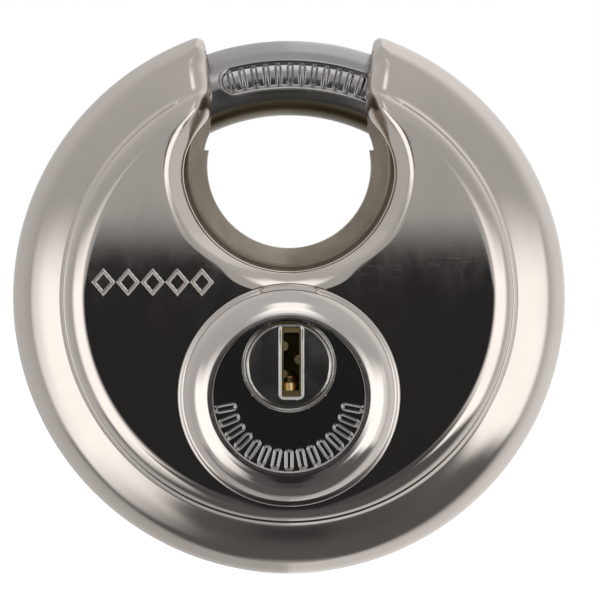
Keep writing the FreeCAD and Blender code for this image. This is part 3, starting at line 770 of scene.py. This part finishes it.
def into_slot(ring):
    """Directions from the key slot's edge into the slot, square to its sides."""
    off = np.stack([SLOT_X - ring[:, 0], 0 * ring[:, 0], SLOT_Z - ring[:, 1]], -1)
    off[:, 0] *= np.abs(off[:, 0]) > SLOT_HALF_W - 0.1
    off[:, 2] *= np.abs(off[:, 2]) > SLOT_HALF_H - 0.1
    return off / np.linalg.norm(off, axis=1)[:, None]


def plug_points():
    """Places on the plug's face: rings, and lines round the key slot."""
    rings = [circle(radius, 0.3, (0, PLUG_Z)) for radius in (5.18, 5.21, 5.28, 5.0, 4.4, 3.6, 2.8, 2.0)]
    lines = [slot_line(grow) for grow in (0.1, 0.2, 0.29, 0.32, 0.4)]
    points = np.vstack(rings + lines)
    return points[(slot_distance(points) > 0.05) & (out_from(points, PLUG_Z) < PLUG_R - 0.02)]


def plug_face(material):
    """The plug's front disc, chamfered outside and sunk in a narrow frame round the key slot."""
    frame_w, frame_slope, edge = 0.3, 0.85, 0.16

    def surface(p):
        sunk = frame_slope * np.clip(frame_w - slot_distance(p), 0, frame_w)
        h = PLUG_H - sunk - np.clip(out_from(p, PLUG_Z) - PLUG_R + edge, 0, edge)
        return np.stack([p[:, 0], -h, p[:, 1]], -1)

    def keep(centres):
        return (slot_distance(centres) > 0) & (out_from(centres, PLUG_Z) < PLUG_R)

    outer, inner = circle(PLUG_R, 0.25, (0, PLUG_Z)), slot_line(0)
    flat, faces = triangulate(plug_points(), [outer, inner], keep)
    skin = Skin()
    skin.add(surface(flat), faces, facing_front(surface_normals(surface, flat)))
    slot_ring, outer_ring = closed(inner), closed(outer)
    walls = [(slot_ring, into_slot(slot_ring)), (outer_ring, outward(outer_ring, PLUG_Z, PLUG_R))]
    for ring, normals in walls:
        top = surface(ring)
        foot = top.copy()
        foot[:, 1] = -PLUG_BACK_H
        skin.strip([top, foot], normals)
    return skin.piece("plug_front_disc", "plug_face", "plug", "plug_steel", material)


def pin_spring(number, material):
    """A coil spring, built as long as its part; the real one shortens as its driver pin is pushed down onto
    it.
    """
    low, high = box_mm(f"pin_spring_{number}")
    mean_r = (high[0] - low[0]) / 2 - SPRING_WIRE_R
    middle_y = (low[1] + high[1]) / 2
    rise = high[2] - low[2] - 2 * SPRING_WIRE_R
    steps, sides = SPRING_TURNS * 24, 10
    turns = np.linspace(0, SPRING_TURNS, steps + 1)
    round_wire = np.arange(sides) * 2 * math.pi / sides
    c, a = np.meshgrid(2 * math.pi * turns, round_wire, indexing="ij")
    r = mean_r + SPRING_WIRE_R * np.cos(a)
    z = low[2] + SPRING_WIRE_R * (1 + np.sin(a)) + rise * c / (2 * math.pi * SPRING_TURNS)
    points = np.stack([r * np.cos(c), middle_y + r * np.sin(c), z], -1).reshape(-1, 3)
    faces = [f[::-1] for f in grid_faces(steps + 1, sides, joined=True)]
    faces.append(list(range(sides))[::-1])
    faces.append(list(range(steps * sides, (steps + 1) * sides)))
    name, node = f"coil_spring_{number}", f"pin_spring_{number}"
    spring = piece(name, points, faces, None, node, "case", material)
    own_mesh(spring)


# ---------------------------------------------------------------- materials


class Graph:
    """A small helper to wire up a node tree."""

    def __init__(self, tree):
        self.tree = tree

    def add(self, kind, **values):
        node = self.tree.nodes.new(kind)
        for key, value in values.items():
            setattr(node, key, value)
        return node

    def link(self, source, target):
        self.tree.links.new(source, target)

    def feed(self, socket, value):
        """A number or a colour is set on the socket itself; anything else is linked to it."""
        if isinstance(value, (int, float)):
            socket.default_value = value
        elif isinstance(value, tuple):
            socket.default_value = (*value, 1)
        else:
            self.link(value, socket)

    def math(self, operation, *values):
        node = self.add("ShaderNodeMath", operation=operation)
        for socket, value in zip(node.inputs, values):
            self.feed(socket, value)
        return node.outputs["Value"]

    def ramp(self, source, low, high, to_low=0, to_high=1):
        node = self.add("ShaderNodeMapRange", interpolation_type="SMOOTHSTEP")
        self.link(source, node.inputs["Value"])
        for key, value in (("From Min", low), ("From Max", high), ("To Min", to_low), ("To Max", to_high)):
            node.inputs[key].default_value = value
        return node.outputs["Result"]


class Nodes(Graph):
    """One material and its nodes."""

    def __init__(self, name):
        self.material = bpy.data.materials.new(name)
        self.material.use_nodes = True
        super().__init__(self.material.node_tree)
        self.shader = self.tree.nodes["Principled BSDF"]
        self.place = self.add("ShaderNodeTexCoord").outputs["Object"]

    def noise(self, scale, detail=4.0, roughness=0.55, stretch=(1, 1, 1), distortion=0.0):
        mapping = self.add("ShaderNodeMapping")
        mapping.inputs["Scale"].default_value = stretch
        self.link(self.place, mapping.inputs["Vector"])
        node = self.add("ShaderNodeTexNoise")
        node.inputs["Scale"].default_value = scale
        node.inputs["Detail"].default_value = detail
        node.inputs["Roughness"].default_value = roughness
        node.inputs["Distortion"].default_value = distortion
        self.link(mapping.outputs["Vector"], node.inputs["Vector"])
        return node.outputs["Fac"]

    def distance(self, height):
        """Distance in metres from the line that runs front to rear at that height."""
        offset = self.add("ShaderNodeVectorMath", operation="SUBTRACT")
        self.link(self.place, offset.inputs[0])
        offset.inputs[1].default_value = (0, 0, height)
        flat = self.add("ShaderNodeVectorMath", operation="MULTIPLY")
        self.link(offset.outputs["Vector"], flat.inputs[0])
        flat.inputs[1].default_value = (1, 0, 1)
        length = self.add("ShaderNodeVectorMath", operation="LENGTH")
        self.link(flat.outputs["Vector"], length.inputs[0])
        return length.outputs["Value"]

    def mix(self, fac, a, b):
        """Colour a where fac is zero, and b where it is one."""
        node = self.add("ShaderNodeMix", data_type="RGBA")
        self.link(fac, node.inputs["Factor"])
        self.feed(node.inputs["A"], a)
        self.feed(node.inputs["B"], b)
        return node.outputs["Result"]

    def hairline(self, stretch, distortion, width):
        """One on thin lines that wander across the surface, nothing beside them."""
        field = self.noise(700, 2, 0.5, stretch, distortion)
        off = self.math("ABSOLUTE", self.math("SUBTRACT", field, 0.5))
        return self.ramp(off, 0.0, width, 1, 0)

    def bump(self, height, strength, distance):
        node = self.add("ShaderNodeBump")
        node.inputs["Strength"].default_value = strength
        node.inputs["Distance"].default_value = distance
        self.link(height, node.inputs["Height"])
        self.link(node.outputs["Normal"], self.shader.inputs["Normal"])


class Finish:
    """How a metal is finished: roughness and its spread, fine grain, bump and how scratched it is."""

    def __init__(self, rough, spread, grain=2500.0, stretch=(1, 1, 1), bump=0.08, wear=0.5):
        self.rough, self.spread = rough, spread
        self.grain, self.stretch = grain, stretch
        self.bump, self.wear = bump, wear


def less_polished(n):
    """Extra roughness on the shells' ring, round the window, and most of all at the throat."""
    throat_z = 25 * MM
    ring = n.ramp(n.distance(0), 27.9 * MM, 28.6 * MM, 0, 0.09)
    funnel = n.ramp(n.distance(WINDOW_Z * MM), 15.2 * MM, 16.0 * MM, 0.10, 0)
    throat = n.ramp(n.distance(throat_z), 12.0 * MM, 15.0 * MM, 0.17, 0)
    return n.math("MAXIMUM", throat, n.math("MAXIMUM", ring, funnel))


def metal(name, light, dark, finish, extra_rough=None, underside_shade=None):
    """Metal with a clouded tone, smears in its polish, fine grain and a few hairline scratches.

    A shade colour darkens what lies nearest to the disc's centre, the inside of a bent bar: painted shade.
    """
    n = Nodes(name)
    n.shader.inputs["Metallic"].default_value = 1.0
    cloud = n.noise(90, 5)
    colour = n.mix(n.ramp(cloud, 0.35, 0.7), light, dark)
    if underside_shade:
        # painted shade: nearest the disc's centre the colour turns to the shade colour
        colour = n.mix(n.ramp(n.distance(0), 24.7 * MM, 26.2 * MM, 1, 0), colour, underside_shade)
    n.link(colour, n.shader.inputs["Base Color"])
    smears = n.noise(260, 6, 0.6, (1, 1, 0.6), 0.4)
    rough = n.ramp(smears, 0.35, 0.7, finish.rough, finish.rough + finish.spread)
    if extra_rough:
        rough = n.math("ADD", rough, extra_rough(n))
    upright = n.hairline((1, 1, 0.08), 1.5, 0.006)
    level = n.hairline((0.07, 1, 1), 1.7, 0.005)
    patches = n.ramp(n.noise(140, 2), 0.5, 0.62, 0, finish.wear)
    scratches = n.math("MULTIPLY", n.math("MAXIMUM", upright, level), patches)
    scratch_rough = n.math("MULTIPLY", scratches, 0.10)
    n.link(n.math("ADD", rough, scratch_rough), n.shader.inputs["Roughness"])
    fine = n.noise(finish.grain, 3, 0.6, finish.stretch)
    height = n.math("SUBTRACT", n.math("MULTIPLY", fine, 0.5), scratches)
    n.bump(height, finish.bump, BUMP_HEIGHT)
    return n.material


def materials():
    warm, warm_dark = (0.655, 0.60, 0.558), (0.625, 0.573, 0.532)
    collar, collar_dark = (0.70, 0.65, 0.615), (0.67, 0.62, 0.587)
    # the shackle's third colour is painted shade for the inside of the bar
    steel, steel_dark, painted_underside_shade = (0.455, 0.445, 0.44), (0.40, 0.39, 0.385), (0.14, 0.125, 0.09)
    mirror = Finish(0.025, 0.02, bump=0.02, wear=0.35)
    turned = Finish(0.09, 0.04, bump=0.03)
    plate = Finish(0.02, 0.02, bump=0.02, wear=0.6)
    worn = Finish(0.03, 0.05, bump=0.03, wear=0.9)
    drawn = Finish(0.18, 0.08)
    satin = Finish(0.34, 0.12)
    cast = Finish(0.50, 0.15, 1400, bump=0.6)
    machined = Finish(0.28, 0.12, 1800, (1, 0.1, 1))
    ground = Finish(0.30, 0.10)
    plated = Finish(0.32, 0.10)
    return {
        "stainless_body": metal("polished_stainless", warm, warm_dark, mirror, less_polished),
        "stainless_bezel": metal("polished_collar", collar, collar_dark, turned),
        "dark_plate": metal("polished_plate", (0.42, 0.41, 0.39), (0.39, 0.38, 0.37), plate),
        "plug_steel": metal("polished_plug_face", (0.68, 0.66, 0.63), (0.56, 0.54, 0.51), worn),
        "shackle_steel": metal("drawn_shackle_steel", steel, steel_dark, drawn, underside_shade=painted_underside_shade),
        "liner_steel": metal("brown_satin_liner", (0.32, 0.275, 0.21), (0.245, 0.21, 0.16), satin),
        "zinc": metal("cast_zinc", (0.50, 0.51, 0.53), (0.38, 0.39, 0.41), cast),
        "brass": metal("machined_brass", (0.80, 0.58, 0.26), (0.66, 0.45, 0.18), machined),
        # brass darkened to near black: painted shade for the parts deep behind the key slot
        "brass_in_painted_shade": metal("brass_in_painted_shade", (0.30, 0.23, 0.11), (0.07, 0.055, 0.028), machined),
        "hard_steel": metal("ground_hard_steel", (0.46, 0.46, 0.48), (0.38, 0.38, 0.40), ground),
        "spring_steel": metal("drawn_spring_steel", (0.66, 0.66, 0.68), (0.55, 0.55, 0.57), ground),
        "plated_steel": metal("zinc_plated_steel", (0.64, 0.63, 0.56), (0.54, 0.54, 0.50), plated),
    }


# ---------------------------------------------------------------- studio


class Sky(Graph):
    """The studio's light as a function of direction: degrees round to the right, and degrees up."""

    def __init__(self, tree):
        super().__init__(tree)
        axes = self.add("ShaderNodeSeparateXYZ")
        self.link(self.add("ShaderNodeTexCoord").outputs["Generated"], axes.inputs[0])
        x, y, z = axes.outputs
        front = self.math("MULTIPLY", y, -1.0)
        self.round = self.math("DEGREES", self.math("ARCTAN2", x, front))
        self.up = self.math("DEGREES", self.math("ARCSINE", z))

    def step(self, value, at, soft):
        return self.ramp(value, at - soft, at + soft)

    def patch(self, left, right, low, high):
        """One inside the patch, nothing outside; each side is (degrees, softness)."""
        inside = self.math("MULTIPLY", self.step(self.round, *left), self.step(self.up, *low))
        outside = self.math("MAXIMUM", self.step(self.round, *right), self.step(self.up, *high))
        return self.math("MULTIPLY", inside, self.math("SUBTRACT", 1.0, outside))

    def lay(self, below, mask, level):
        """The level over what is there already, where the mask is one."""
        change = self.math("MULTIPLY", mask, self.math("SUBTRACT", level, below))
        return self.math("ADD", below, change)


def sky_light():
    world = bpy.data.worlds.new("studio")
    world.use_nodes = True
    tree = world.node_tree
    sky = Sky(tree)
    right = sky.math("MULTIPLY", sky.step(sky.round, 80, 30), 0.40)
    left = sky.math("MULTIPLY", sky.step(sky.math("MULTIPLY", sky.round, -1.0), 80, 30), 0.13)
    above = sky.math("MULTIPLY", sky.step(sky.up, 35, 15), 0.08)
    below = sky.math("MULTIPLY", sky.step(sky.math("MULTIPLY", sky.up, -1.0), 45, 20), -0.12)
    sides = sky.math("ADD", left, right)
    level = sky.math("ADD", sky.math("ADD", 0.52, below), sky.math("ADD", above, sides))
    table = sky.patch((-66, 12), (66, 12), (-80, 8), (-29, 3))
    level = sky.lay(level, table, 0.12)
    left_box = sky.patch((-56, 7), (-19, 7), (-40, 14), (9, 9))
    level = sky.lay(level, left_box, 1.55)
    right_box = sky.patch((19, 7), (62, 9), (-27, 3), (11, 9))
    level = sky.lay(level, right_box, 1.55)
    dark_room = sky.patch((-13, 5), (13, 5), (-48, 8), (0.75, 0.35))
    level = sky.lay(level, dark_room, 0.028)
    dark_right = sky.patch((10, 4), (26, 5), (-48, 5), (-12, 5))
    level = sky.lay(level, dark_right, 0.10)
    dark_left = sky.patch((-27, 4), (-8, 4), (-50, 5), (-24, 4))
    level = sky.lay(level, dark_left, 0.10)
    top_box = sky.patch((-13, 5), (13, 5), (26, 5), (50, 5))
    level = sky.lay(level, top_box, 1.5)
    seen = sky.add("ShaderNodeLightPath").outputs["Is Camera Ray"]
    level = sky.lay(level, seen, 1.0)
    background = tree.nodes["Background"]
    background.inputs["Color"].default_value = (1.0, 1.0, 1.0, 1)
    sky.link(level, background.inputs["Strength"])
    return world


def camera():
    """Straight in front of the disc, which nearly fills the view and stands a little left of its middle."""
    distance, rim_front = 0.9, 0.0053  # metres from the mid-plane, of the eye and of the rim's outline
    disc_share, half_sensor = 0.922, 18
    half_view = DISC_R * MM / disc_share
    data = bpy.data.cameras.new("camera")
    data.lens = half_sensor / (half_view / (distance - rim_front))
    data.shift_x, data.shift_y = 0.0183333, -0.0041667
    data.clip_start, data.clip_end = 0.05, 50
    eye = bpy.data.objects.new("camera", data)
    bpy.context.scene.collection.objects.link(eye)
    eye.location = (0, -distance, 0)
    eye.rotation_euler = (math.radians(90), 0, 0)
    bpy.context.scene.camera = eye


def pale_floor():
    """The floor that the disc stands on; polished metal doesn't mirror it, and it casts no shadow."""
    paint = Nodes("pale_floor")
    paint.shader.inputs["Roughness"].default_value = 0.9
    tone = paint.mix(paint.noise(6, 2), (0.86, 0.86, 0.86), (0.84, 0.84, 0.84))
    paint.link(tone, paint.shader.inputs["Base Color"])
    paint.shader.inputs["Emission Color"].default_value = (1, 1, 1, 1)
    paint.shader.inputs["Emission Strength"].default_value = 0.75
    size, z = 6, -DISC_R * MM
    corners = [(-size, -size, z), (size, -size, z), (size, size, z), (-size, size, z)]
    mesh = bpy.data.meshes.new("floor")
    mesh.from_pydata(corners, [], [(0, 1, 2, 3)])
    mesh.materials.append(paint.material)
    floor = bpy.data.objects.new("floor", mesh)
    bpy.context.scene.collection.objects.link(floor)
    floor.visible_glossy = False
    floor.visible_shadow = False


def studio():
    bpy.context.scene.view_settings.view_transform = "Standard"
    bpy.context.scene.world = sky_light()
    camera()
    pale_floor()


# ---------------------------------------------------------------- build

# the plug and housing seen through the key slot get the darkened brass: painted shade of the slot's recess
BEHIND_KEY_SLOT = ("key_plug", "cylinder_housing")
MATERIALS = materials()
for row in frame["record"]["subparts"]:
    obj = frame["nodes"][row["node"]]
    finish = "brass_in_painted_shade" if row["node"] in BEHIND_KEY_SLOT else row["material_slot"]
    obj.data.materials.clear()
    obj.data.materials.append(MATERIALS[finish])

shell(FRONT, "front_dish", "front_shell", MATERIALS["stainless_body"])
shell(REAR, "rear_dish", "rear_shell", MATERIALS["stainless_body"])
shackle(MATERIALS["shackle_steel"])
bezel(MATERIALS["stainless_bezel"])
face_plate(MATERIALS["dark_plate"])
plug_face(MATERIALS["plug_steel"])
for number in range(1, 6):
    pin_spring(number, MATERIALS["spring_steel"])
studio()
